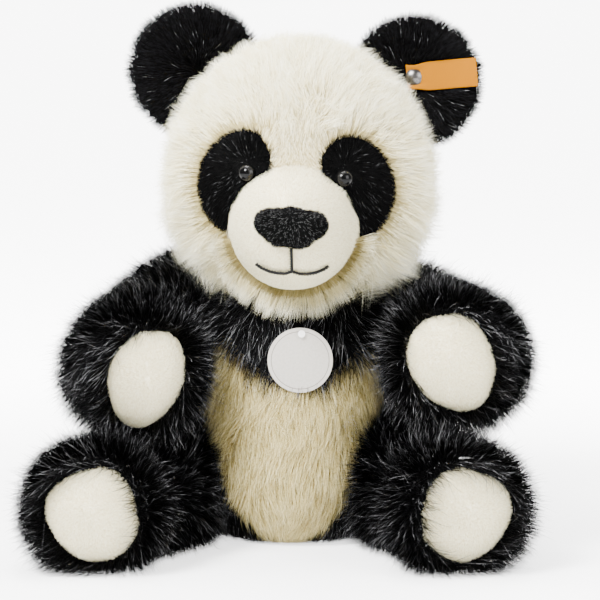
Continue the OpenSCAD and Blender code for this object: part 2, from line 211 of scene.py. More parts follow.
def closed_form(name, nodes, voxel):
    """One closed skin round some CAD nodes that fill each other, by a voxel remesh."""
    bm = bmesh.new()
    for node in nodes:
        bm.from_mesh(frame["nodes"][node].data)
    mesh = bpy.data.meshes.new(name)
    bm.to_mesh(mesh)
    bm.free()
    obj = add_object(name, mesh)
    modify(obj, "REMESH", mode="VOXEL", voxel_size=voxel * MM, use_smooth_shade=True)
    applied(obj)
    largest_part(obj.data)
    modify(obj, "SMOOTH", factor=0.5, iterations=3)
    return applied(obj)


def blown_up(obj, pressure=4.0, cap=3.0, shrink=1.2):
    """Starts the form a little smaller and lets cloth pressure fill it; no point moves over cap."""
    mesh = obj.data
    start = coords(mesh)
    set_coords(mesh, start - normals_of(mesh) * shrink * MM)
    cloth = modify(obj, "CLOTH")
    cloth.settings.use_pressure = True
    cloth.settings.uniform_pressure_force = pressure
    cloth.settings.mass = 0.2
    cloth.settings.tension_stiffness = 8
    cloth.settings.compression_stiffness = 8
    cloth.settings.effector_weights.gravity = 0
    cloth.point_cache.frame_start, cloth.point_cache.frame_end = 1, CLOTH_FRAMES
    for f in range(1, CLOTH_FRAMES + 1):
        bpy.context.scene.frame_set(f)
    applied(obj)
    bpy.context.scene.frame_set(1)
    moved = coords(obj.data) - start
    far = np.linalg.norm(moved, axis=1, keepdims=True)
    moved *= np.minimum(1, cap * MM / np.maximum(far, 1e-9))
    new = start + moved
    new[:, 2] = np.maximum(new[:, 2], FLOOR_GAP * MM)
    set_coords(obj.data, new)
    return obj


def refined(obj):
    """One round of subdivision, with smooth shading."""
    modify(obj, "SUBSURF", levels=1, render_levels=1)
    return smooth_shade(applied(obj))


def without_islands(mesh, owner, smallest=120):
    """Gives stray islands of faces to the piece that lies round them."""
    sharing = {}
    for poly in mesh.polygons:
        for key in poly.edge_keys:
            sharing.setdefault(key, []).append(poly.index)
    beside = [[] for _ in owner]
    for faces in sharing.values():
        for a in faces:
            beside[a] += [b for b in faces if b != a]
    seen = set()
    for first in range(len(owner)):
        if first in seen:
            continue
        island, stack, other = {first}, [first], []
        while stack:
            for b in beside[stack.pop()]:
                if owner[b] != owner[first]:
                    other.append(owner[b])
                elif b not in island:
                    island.add(b)
                    stack.append(b)
        seen |= island
        if other and len(island) < smallest:
            owner[list(island)] = max(set(other), key=other.count)
    return owner


def split(pelt, nodes, favour=None):
    """Cuts a pelt along its seams: each face goes to the CAD node that it lies nearest to.

    favour gives a node a head start, in metres."""
    trees = [bvh_of_node(n) for n in nodes]
    start = np.array([(favour or {}).get(n, 0.0) for n in nodes])
    mesh = pelt.data
    owner = []
    for poly in mesh.polygons:
        far = np.array([t.find_nearest(poly.center)[3] for t in trees])
        owner.append(int(np.argmin(far - start)))
    owner = without_islands(mesh, np.array(owner))
    pieces = {}
    for i, node in enumerate(nodes):
        bm = bmesh.new()
        bm.from_mesh(mesh)
        bm.faces.ensure_lookup_table()
        gone = [bm.faces[j] for j in np.nonzero(owner != i)[0]]
        bmesh.ops.delete(bm, geom=gone, context="FACES")
        part = bpy.data.meshes.new(node + "_pelt")
        bm.to_mesh(part)
        bm.free()
        pieces[node] = smooth_shade(add_object(node + "_pelt", part))
    bpy.data.objects.remove(pelt)
    return pieces


def border_of(mesh):
    """Which vertices lie on an open edge, and each one's two neighbours along it."""
    count = {}
    for poly in mesh.polygons:
        for a, b in poly.edge_keys:
            count[(a, b)] = count.get((a, b), 0) + 1
    near = {}
    for (a, b), n in count.items():
        if n == 1:
            near.setdefault(a, []).append(b)
            near.setdefault(b, []).append(a)
    return near


def tidy_seam(obj, rounds=6, sink=0.8):
    """Smooths the cut edge of a piece and pulls it in, as a sewn seam does."""
    near = border_of(obj.data)
    if not near:
        return obj
    co = coords(obj.data)
    for _ in range(rounds):
        new = {a: (co[a] + co[b].mean(0)) / 2 for a, b in near.items()}
        for a, p in new.items():
            co[a] = p
    n = normals_of(obj.data)
    rows = list(near)
    co[rows] -= n[rows] * sink * MM
    set_coords(obj.data, co)
    return obj


def crown(obj, height, width):
    """Raises a panel away from its seam, by height at width or more from the edge."""
    near = border_of(obj.data)
    co, n = coords(obj.data), normals_of(obj.data)
    tree = tree_of(co[list(near)])
    far = np.array([tree.find(p)[2] for p in co])
    co += n * (smoothstep(far, 0, width * MM) * height * MM)[:, None]
    set_coords(obj.data, co)
    return obj


# ---------- materials ----------
def principled(name, colour, rough, **plain):
    mat = bpy.data.materials.new(name)
    mat.use_nodes = True
    node = mat.node_tree.nodes["Principled BSDF"]
    node.inputs["Base Color"].default_value = (*colour, 1)
    node.inputs["Roughness"].default_value = rough
    for key, value in plain.items():
        node.inputs[key.replace("_", " ")].default_value = value
    return mat


def shade(mat, kind, **settings):
    node = mat.node_tree.nodes.new(kind)
    for key, value in settings.items():
        setattr(node, key, value)
    return node


def mottled(name, dark, light, scale, rough, bump=0.3, detail=6, **plain):
    """Cloth or fibre whose colour drifts between two tones, with fine bumps."""
    mat = principled(name, light, rough, **plain)
    tree, links = mat.node_tree, mat.node_tree.links
    body = tree.nodes["Principled BSDF"]
    where = shade(mat, "ShaderNodeTexCoord")
    grain = shade(mat, "ShaderNodeTexNoise")
    grain.inputs["Scale"].default_value = scale
    grain.inputs["Detail"].default_value = detail
    ramp = shade(mat, "ShaderNodeValToRGB")
    ramp.color_ramp.elements[0].color = (*dark, 1)
    ramp.color_ramp.elements[1].color = (*light, 1)
    ramp.color_ramp.elements[0].position = 0.35
    ramp.color_ramp.elements[1].position = 0.65
    raise_ = shade(mat, "ShaderNodeBump")
    raise_.inputs["Strength"].default_value = bump
    raise_.inputs["Distance"].default_value = 0.0004
    links.new(where.outputs["Object"], grain.inputs["Vector"])
    links.new(grain.outputs["Fac"], ramp.inputs["Fac"])
    links.new(ramp.outputs["Color"], body.inputs["Base Color"])
    links.new(grain.outputs["Fac"], raise_.inputs["Height"])
    links.new(raise_.outputs["Normal"], body.inputs["Normal"])
    return mat


def blade_set(name, tones, rough, gloss):
    """Materials of one kind of pile: a list of (root, middle, tip) colours gives three each."""
    mats = []
    for i, tone in enumerate(tones):
        for part, colour in zip(("root", "middle", "tip"), tone):
            mats.append(principled(f"{name}_{i}_{part}", colour, rough, Specular_IOR_Level=gloss[i]))
    return mats


# The third tone's grey middle and bright grey tips are painted glints on single hairs; its higher specular
# level is real gloss.
BLACK_PILE = blade_set("black_pile", [
    ((0.001, 0.001, 0.001), (0.001, 0.001, 0.001), (0.002, 0.002, 0.002)),
    ((0.001, 0.001, 0.001), (0.002, 0.002, 0.002), (0.009, 0.009, 0.010)),
    ((0.002, 0.002, 0.002), (0.055, 0.055, 0.057), (0.28, 0.28, 0.29)),
], 0.5, (0.02, 0.03, 0.3))
# Each tone darkens from tip to root: painted shade deep in the pile and between tufts. The three tones
# differ at random.
CREAM_PILE = blade_set("cream_pile", [
    ((0.50, 0.41, 0.17), (0.85, 0.77, 0.46), (0.97, 0.93, 0.70)),
    ((0.58, 0.49, 0.23), (0.92, 0.86, 0.58), (0.99, 0.97, 0.82)),
    ((0.36, 0.28, 0.11), (0.68, 0.59, 0.30), (0.91, 0.85, 0.56)),
], 0.5, (0.3, 0.4, 0.2))
# A darker, tan copy of the cream pile: painted shade over the belly, which lies out of the light; the roots
# darken further as painted shade deep in the pile.
SHADED_BELLY_PILE = blade_set("shaded_belly_pile", [
    ((0.24, 0.17, 0.05), (0.47, 0.37, 0.13), (0.67, 0.56, 0.25)),
    ((0.31, 0.23, 0.07), (0.61, 0.49, 0.20), (0.84, 0.74, 0.40)),
    ((0.16, 0.11, 0.03), (0.36, 0.26, 0.08), (0.54, 0.42, 0.17)),
], 0.45, (0.2, 0.4, 0.1))
# Each tone darkens from tip to root: painted shade deep in the short pile.
VELOUR_PILE = blade_set("velour_pile", [
    ((0.76, 0.67, 0.39), (0.93, 0.88, 0.62), (0.98, 0.95, 0.75)),
    ((0.82, 0.74, 0.47), (0.95, 0.91, 0.68), (0.99, 0.97, 0.81)),
    ((0.68, 0.58, 0.32), (0.89, 0.82, 0.54), (0.97, 0.92, 0.70)),
], 0.7, (0.3, 0.3, 0.3))
# The third tone's grey middle and pale tips are painted glints, seen as grey speckles on the nose; its
# higher specular level is real gloss.
NOSE_PILE = blade_set("nose_pile", [
    ((0.001, 0.001, 0.001), (0.001, 0.001, 0.001), (0.002, 0.002, 0.002)),
    ((0.001, 0.001, 0.001), (0.002, 0.002, 0.002), (0.006, 0.006, 0.006)),
    ((0.002, 0.002, 0.002), (0.060, 0.060, 0.058), (0.55, 0.54, 0.53)),
], 0.5, (0.02, 0.03, 0.3))


# ---------- pile ----------
def scattered(obj, per_mm2, seed):
    """Random roots and normals over a piece, even by area."""
    rng = np.random.default_rng(seed)
    mesh = obj.data
    mesh.calc_loop_triangles()
    tri = np.zeros(len(mesh.loop_triangles) * 3, int)
    mesh.loop_triangles.foreach_get("vertices", tri)
    tri = tri.reshape(-1, 3)
    co, n = coords(mesh), normals_of(mesh)
    a, b, c = (co[tri[:, k]] for k in range(3))
    area = np.linalg.norm(np.cross(b - a, c - a), axis=1) / 2
    count = int(area.sum() / MM ** 2 * per_mm2 * (1.0))
    pick = rng.choice(len(tri), count, p=area / area.sum())
    u, v = rng.random(count), rng.random(count)
    over = u + v > 1
    u[over], v[over] = 1 - u[over], 1 - v[over]
    w = np.stack([1 - u - v, u, v], axis=1)[:, :, None]
    roots = (co[tri[pick]] * w).sum(1)
    return roots, unit((n[tri[pick]] * w).sum(1))


def within_room(path, roots):
    """Shortens blades that would stand out further from the CAD box than fabric may."""
    low, high = np.array(CAD_LOW), np.array(CAD_HIGH)
    spare = OVER_SHARE * (high - low) + OVER_MM * MM
    step = path - roots[:, None]
    edge = np.where(step > 0, high + spare, low - spare) - roots[:, None]
    share = np.where(np.abs(step) > 1e-9, edge / np.where(step == 0, 1, step), 1)
    return roots[:, None] + step * np.clip(share.min(axis=(1, 2)), 0, 1)[:, None, None]


def grow(name, body, slot, roots, normals, flow, length, width, mats, seed,
         lift=0.9, bend=0.4, clump=0.4, clump_every=16, wild=0.3, droop=0.12, steps=3, soft=0.5,
         swirl=0.016, stray=0.0, share=(0.5, 0.32, 0.18), keep_off=()):
    """Blades of pile from roots, as pieces of one body.

    flow is the combed direction, swirl the size of its eddies in metres and wild their strength.
    lift is how far blades stand up, bend and droop how they curve on, and stray how untidy single
    ones are. clump pulls tips together. soft is how far the shading follows the cloth below.
    length and width are in millimetres; length, lift, bend, clump, wild and stray may differ from
    root to root. share is the part of each tone in mats. keep_off functions push points off other
    surfaces."""
    rng = np.random.default_rng(seed)
    count = len(roots)
    wild, stray = np.reshape(wild, (-1, 1)), np.reshape(stray, (-1, 1))
    length = np.asarray(length) * np.ones(count) * rng.uniform(0.7, 1.12, count) * MM
    flow = unit(tangent(flow, normals) + wild * waves(roots, swirl, seed + 1)
                + 0.7 * wild * rng.normal(size=(count, 3)))
    flow = tangent(flow, normals)
    stand = lift * (1 + 0.2 * rng.normal(size=(count, 1)))
    first = unit(normals * stand + flow * (1 - lift * 0.5) + stray * rng.normal(size=(count, 3)))
    turn = bend * (flow - first) - droop * UP
    t = np.linspace(0, 1, steps + 1)
    path = roots[:, None] + length[:, None, None] * (
        first[:, None] * t[None, :, None] + turn[:, None] * (t ** 2)[None, :, None])
    guides = rng.choice(count, max(1, count // clump_every), replace=False)
    tree = tree_of(roots[guides])
    mine = guides[[tree.find(p)[1] for p in roots]]
    pull = np.reshape(clump, (-1, 1, 1)) * (t ** 1.4)[None, :, None] * rng.uniform(0.2, 1, (count, 1, 1))
    path = path * (1 - pull) + (path[mine] + (roots - roots[mine])[:, None] * 0.15) * pull
    for push in keep_off:
        path = push(path)
    path = within_room(path, roots)
    low = path[:, :, 2]
    lain = PILE_GAP * MM + 0.15 * np.abs(low) * t[None]
    path[:, :, 2] = np.where(low < PILE_GAP * MM, lain, low)
    along = unit(path[:, -1] - path[:, 0])
    side = unit(np.cross(along, normals) + 1e-6)
    other = np.cross(along, side)
    spin = rng.normal(0, 0.6, (count, 1))
    across = side * np.cos(spin) + other * np.sin(spin)
    facing = np.cross(across, along)
    outward = np.where(np.sum(facing * normals, axis=1, keepdims=True) < 0, -1.0, 1.0)
    across, facing = across * outward, facing * outward
    facing = unit(facing * (1 - soft) + normals * soft)
    half = 0.5 * width * MM * rng.uniform(0.7, 1.3, (count, 1, 1)) * (1 - t[:-1] ** 1.6)[None, :, None]
    left = path[:, :-1] - across[:, None] * half
    right = path[:, :-1] + across[:, None] * half
    pairs = np.stack([left, right], axis=2).reshape(count, 2 * steps, 3)
    verts = np.concatenate([pairs, path[:, -1:]], axis=1)
    variant = rng.choice(len(mats) // 3, count, p=share)
    pieces = []
    for k in range(0, count, PIECE_BLADES):
        part = slice(k, k + PIECE_BLADES)
        label = name if count <= PIECE_BLADES else f"{name}_{k // PIECE_BLADES + 1}"
        piece = blades(label, verts[part], facing[part], variant[part], mats, steps)
        pieces.append(finish_piece(piece, body, slot))
    return pieces


def blades(name, verts, facing, variant, mats, steps):
    """One mesh from rows of blade points: two per step and a tip."""
    count, each = verts.shape[:2]
    shape = []
    for s in range(steps - 1):
        shape += [2 * s, 2 * s + 1, 2 * s + 3, 2 * s + 2]
    shape += [2 * steps - 2, 2 * steps - 1, 2 * steps]
    loops = (np.arange(count)[:, None] * each + np.array(shape)).ravel()
    starts = np.arange(count)[:, None] * len(shape) + 4 * np.arange(steps)
    level = np.minimum((np.arange(steps) * 3) // steps, 2)
    mesh = bpy.data.meshes.new(name)
    mesh.vertices.add(count * each)
    mesh.vertices.foreach_set("co", verts.ravel())
    mesh.loops.add(len(loops))
    mesh.loops.foreach_set("vertex_index", loops.astype(np.int32))
    mesh.polygons.add(count * steps)
    mesh.polygons.foreach_set("loop_start", starts.ravel().astype(np.int32))
    for m in mats:
        mesh.materials.append(m)
    mesh.polygons.foreach_set("material_index", (variant[:, None] * 3 + level).ravel().astype(np.int32))
    mesh.update(calc_edges=True)
    obj = smooth_shade(add_object(name, mesh))
    mesh.normals_split_custom_set_from_vertices(np.repeat(facing, each, axis=0))
    return obj


def off_plane(point, outward, centre, radius):
    """A keep_off that presses pile flat under a disc: nothing near centre rises past the plane."""
    point, outward, centre = (np.array(v, float) for v in (point, outward, centre))
    outward = unit(outward)

    def push(path):
        rise = (path - point) @ outward
        flat = path - centre - ((path - centre) @ outward)[..., None] * outward
        near = np.linalg.norm(flat, axis=-1) < radius
        over = np.where(near & (rise > 0), rise, 0)
        return path - over[..., None] * outward
    return push


# ---------- body places ----------
HEAD = middle("head_skin")
MUZZLE = middle("muzzle_skin")
NOSE = middle("nose")
EYES = {s: middle(s + "_eye") for s in SIDES}
FORWARD = unit(np.array(((NOSE - HEAD)[0], (NOSE - HEAD)[1], 0)))
CARD = middle("chest_card")
LEAN_UP = np.array(JOINTS["neck"]["axis"])


def finish_piece(obj, body, slot, *nodes):
    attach(obj, body)
    if nodes:
        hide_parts(*nodes)
    return obj


def dressed(obj, mat):
    obj.data.materials.clear()
    obj.data.materials.append(mat)
    return obj


BLACK_CLOTH = mottled("black_cloth", (0.001, 0.001, 0.001), (0.002, 0.002, 0.002), 900, 0.8,
                      Specular_IOR_Level=0.03)
CREAM_CLOTH = mottled("cream_cloth", (0.50, 0.40, 0.20), (0.76, 0.66, 0.40), 700, 0.85)
VELOUR_CLOTH = mottled("velour_cloth", (0.80, 0.73, 0.50), (0.94, 0.89, 0.70), 1400, 0.9, bump=0.2)
NOSE_CLOTH = mottled("nose_cloth", (0.001, 0.001, 0.001), (0.003, 0.003, 0.003), 2500, 0.8,
                    Specular_IOR_Level=0.03)
FIBRE = mottled("fibre_filling", (0.80, 0.80, 0.80), (0.97, 0.97, 0.97), 400, 0.9)
NYLON = mottled("moulded_nylon", (0.78, 0.78, 0.74), (0.84, 0.84, 0.80), 300, 0.45, bump=0.05)
YARN = mottled("black_yarn", (0.003, 0.003, 0.003), (0.012, 0.012, 0.012), 3000, 0.7,
               Specular_IOR_Level=0.2)
GUNMETAL = mottled("button_metal", (0.09, 0.085, 0.08), (0.15, 0.14, 0.135), 1200, 0.3, bump=0.05,
                   Metallic=1.0)
THREAD = mottled("white_thread", (0.80, 0.78, 0.74), (0.95, 0.94, 0.91), 3000, 0.7)


def beside_limbs(roots):
    """From 0 to 1, how far roots of the torso face the gaps between torso and limbs."""
    off = np.abs(roots[:, 0] - middle("body_stuffing")[0]) / MM
    high = roots[:, 2] / MM
    return smoothstep(off, 19, 29) * smoothstep(high, 46, 58) * (1 - smoothstep(high, 120, 134))


def make_torso():
    """Torso and belly panel, with pile combed down and kept behind the card."""
    nodes = ("body_skin", "belly_panel")
    pelt = closed_form("torso_form", nodes + ("body_stuffing", "pellet_bag"), 4.5)
    pelt = refined(blown_up(pelt))
    parts = split(pelt, nodes)
    card = off_plane(CARD - FORWARD * 0.2 * MM, FORWARD, CARD, 16 * MM)
    for i, node in enumerate(nodes):
        piece = tidy_seam(parts[node], sink=0.4)
        cream = node == "belly_panel"
        slot = "cream_plush" if cream else "black_plush"
        finish_piece(dressed(piece, CREAM_CLOTH if cream else BLACK_CLOTH), "torso", slot, node)
        roots, n = scattered(piece, 2.6 if cream else 2.3, 10 + i)
        flow = -LEAN_UP + 0.2 * n
        aside = beside_limbs(roots) * (not cream)
        # The belly panel's pile takes the tan tones of painted shade.
        grow(node + "_pile", "torso", slot, roots, n, flow, (12.0 if cream else 16.0) + 10.0 * aside,
             0.24, SHADED_BELLY_PILE if cream else BLACK_PILE, 20 + i, lift=0.8 + 0.5 * aside[:, None],
             bend=0.5 - 0.3 * aside[:, None], stray=0.12,
             clump=0.55, clump_every=24, wild=0.4, swirl=0.03, soft=0.5 if cream else 0.3,
             share=(0.5, 0.32, 0.18) if cream else (0.54, 0.38, 0.08), keep_off=[card])


def head_length(roots):
    """The head's fur in millimetres: short near muzzle and eyes, long at cheeks, chin and crown."""
    out = (roots - MUZZLE) - ((roots - MUZZLE) @ FORWARD)[:, None] * FORWARD
    far = np.linalg.norm(out, axis=1) / MM
    back = -((roots - HEAD) @ FORWARD) / MM
    low = smoothstep(-(roots - HEAD)[:, 2] / MM, -5, 35)
    grown = np.maximum(smoothstep(far, 24, 48), smoothstep(back, -30, 0))
    return 4.5 + (13.0 + 8.0 * low) * np.maximum(grown, low)


def chin_roots(piece, seed):
    """Roots on the hidden underside of the muzzle, with their way out from its axis."""
    roots, n = scattered(piece, 2.4, seed)
    ahead = (roots - HEAD) @ FORWARD
    out = unit((roots - MUZZLE) - ((roots - MUZZLE) @ FORWARD)[:, None] * FORWARD)
    under = (out[:, 2] < -0.15) & (ahead < 44 * MM)
    return roots[under], n[under], out[under]


def make_head():
    """Head, muzzle and eye patches, cut from one form; gives the surface that the mouth lies on."""
    nodes = ("head_skin", "muzzle_skin", "left_eye_patch", "right_eye_patch")
    form = closed_form("head_form", nodes + ("head_stuffing", "muzzle_stuffing"), 4)
    pelt = refined(blown_up(form))
    surface = BVHTree.FromPolygons(coords(pelt.data), [p.vertices[:] for p in pelt.data.polygons])
    parts = split(pelt, nodes, {"left_eye_patch": 1.2 * MM, "right_eye_patch": 1.2 * MM})
    looks = {
        "head_skin": (CREAM_CLOTH, "cream_plush"), "muzzle_skin": (VELOUR_CLOTH, "cream_velour"),
        "left_eye_patch": (BLACK_CLOTH, "black_plush"), "right_eye_patch": (BLACK_CLOTH, "black_plush"),
    }
    for node in nodes:
        piece = tidy_seam(parts[node], sink=0.3)
        mat, slot = looks[node]
        finish_piece(dressed(piece, mat), "head", slot, node)
    head_fur(parts["head_skin"])
    roots, n, out = chin_roots(parts["muzzle_skin"], 38)
    grow("chin_pile", "head", "cream_plush", roots, n, out + 0.25 * FORWARD, 17.0, 0.2, CREAM_PILE, 39,
         lift=1.0, bend=0.3, droop=0.24, clump=0.78, clump_every=44, wild=0.3, swirl=0.022, stray=0.08,
         soft=0.4)
    face_pile(parts)
    return surface


def head_fur(skin):
    """Long fur combed away from the muzzle, calm round the eye patches, with pointed tufts."""
    roots, n = scattered(skin, 3.0, 30)
    behind = smoothstep(-(roots - HEAD) @ FORWARD / MM, 0, 35)[:, None]
    flow = unit(roots - MUZZLE) - (0.1 + 1.5 * behind) * UP
    long, calm = head_length(roots), 0
    for side in SIDES:
        away = roots - middle(side + "_eye_patch")
        near = 1 - smoothstep(np.linalg.norm(away, axis=1) / MM, 22, 32)
        flow = flow + 1.6 * near[:, None] * unit(away)
        long = long * (1 - 0.35 * near)
        calm = np.maximum(calm, near)
    clump = 0.15 + 0.62 * smoothstep(long, 7, 15)
    grow("head_pile", "head", "cream_plush", roots, n, flow, long, 0.2, CREAM_PILE, 31,
         lift=0.95, bend=0.35, droop=0.12, clump=clump, clump_every=52,
         wild=0.45 - 0.35 * calm, swirl=0.026, stray=0.08 - 0.08 * calm, soft=0.4)
    roots, n = scattered(skin, 1.1, 60)
    shaggy = (head_length(roots) > 15) & (np.abs((roots - HEAD) @ FORWARD) < 45 * MM)
    roots, n = roots[shaggy], n[shaggy]
    grow("head_tufts", "head", "cream_plush", roots, n, unit(roots - MUZZLE) - 0.25 * UP,
         1.15 * head_length(roots), 0.22, CREAM_PILE, 61, lift=0.95, bend=0.3, droop=0.1, clump=0.92,
         clump_every=34, wild=0.5, swirl=0.02, soft=0.4)


def face_pile(parts):
    """Short velour on the muzzle and on the two eye patches."""
    roots, n = scattered(parts["muzzle_skin"], 6.0, 32)
    flow = (roots - NOSE) - 0.006 * UP
    grow("muzzle_pile", "head", "cream_velour", roots, n, flow, 2.4, 0.22, VELOUR_PILE, 33, lift=0.6,
         clump=0.15, steps=2, droop=0, soft=0.8)
    for i, side in enumerate(SIDES):
        roots, n = scattered(parts[side + "_eye_patch"], 5.0, 34 + i)
        away = roots - EYES[side]
        long = 1.0 + 3.6 * smoothstep(np.linalg.norm(away, axis=1) / MM, 4.5, 10)
        grow(side + "_eye_patch_pile", "head", "black_plush", roots, n, away - 0.004 * UP, long, 0.22,
             BLACK_PILE, 36 + i, lift=0.6, clump=0.3, steps=2, droop=0.05, soft=0.4,
             share=(0.50, 0.48, 0.02))


def make_nose():
    """The nose with its short stiff pile, on the side that shows."""
    nose = refined(closed_form("nose_form", ["nose"], 0.9))
    finish_piece(dressed(nose, NOSE_CLOTH), "head", "nose_velour", "nose")
    roots, n = scattered(nose, 8, 40)
    seen = n @ FORWARD > -0.3
    roots, n = roots[seen], n[seen]
    grow("nose_pile", "head", "nose_velour", roots, n, (roots - NOSE) - 0.004 * UP, 1.5, 0.2, NOSE_PILE,
         41, lift=0.9, clump=0.1, steps=2, droop=0, stray=0.2, soft=0.4, share=(0.56, 0.28, 0.16))


def ribbon_frame():
    """Middle of the ribbon's inner end, its way along and its way up."""
    corner = node_points("ear_ribbon")
    towards = ((1, 0, 1), (-1, 0, 1), (-1, 0, -1), (1, 0, -1))
    ends = [corner[np.argmax(corner @ np.array(d))] for d in towards]
    out = unit(ends[0] + ends[3] - ends[1] - ends[2])
    up = unit(np.cross(FORWARD, out))
    return np.mean(ends, axis=0) - out * RIBBON_L / 2 * MM, out, up * np.sign(up[2])


def ribbon_room():
    """Discs that keep the ear's pile behind the ribbon and the button."""
    start, out, _ = ribbon_frame()
    spots = [start + out * x * MM for x in (1, 6, 12, 18, 24)]
    return [off_plane(spot - FORWARD * 0.1 * MM, FORWARD, spot, 8.0 * MM) for spot in spots]


def make_ears():
    """Both ears, each its own body, combed out from the middle."""
    for i, side in enumerate(SIDES):
        node = side + "_ear"
        form = closed_form(node + "_pelt", [node, node + "_filling"], 2.5)
        pelt = refined(blown_up(form, cap=1.5, shrink=0.6))
        finish_piece(dressed(pelt, BLACK_CLOTH), node, "black_plush", node)
        centre = middle(node)
        roots, n = scattered(pelt, 5.2, 50 + i)
        flow = unit(roots - centre) + 0.35 * unit(centre - HEAD)
        tags = ribbon_room() if side == "left" else ()
        grow(node + "_pile", node, "black_plush", roots, n, flow, 9.5, 0.28, BLACK_PILE, 52 + i, lift=1.1,
             bend=0.25, clump=0.18, droop=0.03, stray=0.12, soft=0.3, share=(0.50, 0.494, 0.006),
             keep_off=tags)


def make_limb(side, limb, pad, seed):
    """An arm or a leg: fur skin, velour pad with a raised middle, pile and longer guard hairs."""
    body, joint = f"{side}_{limb}", ("shoulder" if limb == "arm" else "hip")
    skin, sole = f"{side}_{limb}_skin", f"{side}_{pad}_pad"
    filled = (skin, sole, f"{side}_{limb}_stuffing", f"{side}_{joint}_stud")
    pelt = refined(blown_up(closed_form(body + "_form", filled, 4.5)))
    parts = split(pelt, (skin, sole))
    hub = np.array(JOINTS[f"{side}_{joint}"]["pos_m"])
    tip = middle(sole)
    axis = unit(tip - hub)
    fur_skin = tidy_seam(parts[skin], sink=0.5)
    cloth_pad = crown(tidy_seam(parts[sole], sink=0.8), 1.0, 9)
    finish_piece(dressed(fur_skin, BLACK_CLOTH), body, "black_plush", skin)
    finish_piece(dressed(cloth_pad, VELOUR_CLOTH), body, "cream_velour", sole)
    roots, n = scattered(fur_skin, 2.6, seed)
    flow = axis + 0.5 * unit(roots - (hub + tip) / 2)
    grow(body + "_pile", body, "black_plush", roots, n, flow, 16, 0.21, BLACK_PILE, seed + 1, lift=1.3,
         bend=0.25, droop=0.06, clump=0.3, clump_every=14, wild=0.3, swirl=0.03, stray=0.22, soft=0.2,
         share=(0.54, 0.40, 0.06))
    # Sparse longer guard hairs; four in ten take the painted glint tone of the black pile.
    roots, n = scattered(fur_skin, 0.35, seed + 4)
    flow = axis + 0.8 * unit(roots - (hub + tip) / 2)
    grow(body + "_guard_hairs", body, "black_plush", roots, n, flow, 20, 0.17, BLACK_PILE, seed + 5,
         lift=1.2, bend=0.15, droop=0.04, clump=0.1, clump_every=8, wild=0.5, swirl=0.02, stray=0.3,
         soft=0.2, share=(0.3, 0.3, 0.4))
    roots, n = scattered(cloth_pad, 6.0, seed + 2)
    grow(f"{sole}_pile", body, "cream_velour", roots, n, (roots - tip) - 0.004 * UP, 2.2, 0.22,
         VELOUR_PILE, seed + 3, lift=0.6, clump=0.15, steps=2, droop=0, soft=0.8)


def make_tail():
    pelt = refined(closed_form("tail_pelt", ["tail"], 2.5))
    finish_piece(dressed(pelt, CREAM_CLOTH), "torso", "cream_plush", "tail")
    roots, n = scattered(pelt, 3.0, 70)
    grow("tail_pile", "torso", "cream_plush", roots, n, (roots - middle("body_stuffing")) - 0.02 * UP, 9,
         0.24, CREAM_PILE, 71, lift=0.7, soft=0.6)


def lathe(name, centre, axis, profile, mats, segments=40):
    """Turned piece about an axis; profile rows are (radius, height, material index), in millimetres."""
    axis = unit(axis)
    side = unit(np.cross(axis, UP))
    other = np.cross(side, axis)
    verts, faces, slots = [], [], []
    for r, h, _ in profile:
        for k in range(segments):
            a = 2 * math.pi * k / segments
            verts.append(centre + MM * (axis * h + r * (side * math.cos(a) + other * math.sin(a))))
    for i in range(len(profile) - 1):
        for k in range(segments):
            a, b = i * segments + k, i * segments + (k + 1) % segments
            faces.append((a, b, b + segments, a + segments))
            slots.append(profile[i][2])
    mesh = mesh_from(name, verts, faces)
    for m in mats:
        mesh.materials.append(m)
    mesh.polygons.foreach_set("material_index", slots)
    bm = bmesh.new()
    bm.from_mesh(mesh)
    bmesh.ops.remove_doubles(bm, verts=bm.verts, dist=1e-7)
    bmesh.ops.recalc_face_normals(bm, faces=bm.faces)
    bm.to_mesh(mesh)
    bm.free()
    return smooth_shade(add_object(name, mesh))


def make_eyes():
    """Glass eyes: a dome of pupil, iris and rim on a shank that goes through the cloth."""
    glass = dict(Coat_Weight=0.12, Coat_Roughness=0.02, Specular_IOR_Level=0.1)
    mats = [mottled("eye_pupil", (0.001, 0.001, 0.001), (0.002, 0.002, 0.002), 500, 0.1, bump=0, **glass),
            mottled("eye_iris", (0.005, 0.005, 0.005), (0.018, 0.017, 0.016), 1600, 0.12, bump=0, **glass),
            mottled("eye_rim", (0.002, 0.002, 0.002), (0.004, 0.004, 0.004), 500, 0.12, bump=0, **glass)]
    for side in SIDES:
        points = node_points(side + "_eye")
        axis = unit((EYES[side] - HEAD) * np.array((1, 1, 0)))
        reach = points @ axis
        dome = points[reach > reach.max() - 4.2 * MM]
        base = dome.mean(0) + axis * (reach.max() - EYE_R * MM - dome.mean(0) @ axis)
        profile = [(0.0, -9, 2), (1.6, -9, 2), (1.6, -0.4, 2), (EYE_R - 0.2, -0.4, 2), (EYE_R, 0, 2)]
        steps = 20
        for i in range(1, steps + 1):
            a = math.pi / 2 * i / steps
            r = EYE_R * math.cos(a)
            tone = 0 if r < PUPIL_R else (1 if r < IRIS_R else 2)
            profile.append((max(r, 0.0), EYE_R * math.sin(a), tone))
        eye = lathe(side + "_eye_glass", base, axis, profile, mats)
        finish_piece(eye, "head", "eye_gloss", side + "_eye")


